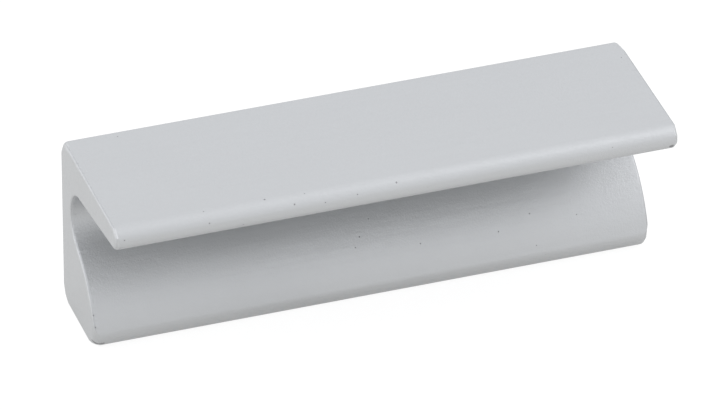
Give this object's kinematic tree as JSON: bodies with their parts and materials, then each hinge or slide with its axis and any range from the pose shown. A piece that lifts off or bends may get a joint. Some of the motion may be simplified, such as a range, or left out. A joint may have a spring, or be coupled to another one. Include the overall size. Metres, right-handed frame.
{
  "type": "profile pull handle",
  "caption": "Short door pull cut from one aluminium profile: a flat grip plate over a rounded foot, with a finger channel between them.",
  "frame": {"origin": "midway between the two screw holes, on the flat underside of the foot, which seats on the door", "axes": "+X along the handle, -Y the way the lip points, +Z away from the door through the foot to the grip plate"},
  "size_m": [0.08, 0.025, 0.026],
  "materials": {
    "anodised_aluminium": "fine matt blasted, natural anodised"
  },
  "bodies": {
    "root": {"pull_handle": "anodised_aluminium"}
  },
  "joints": []
}
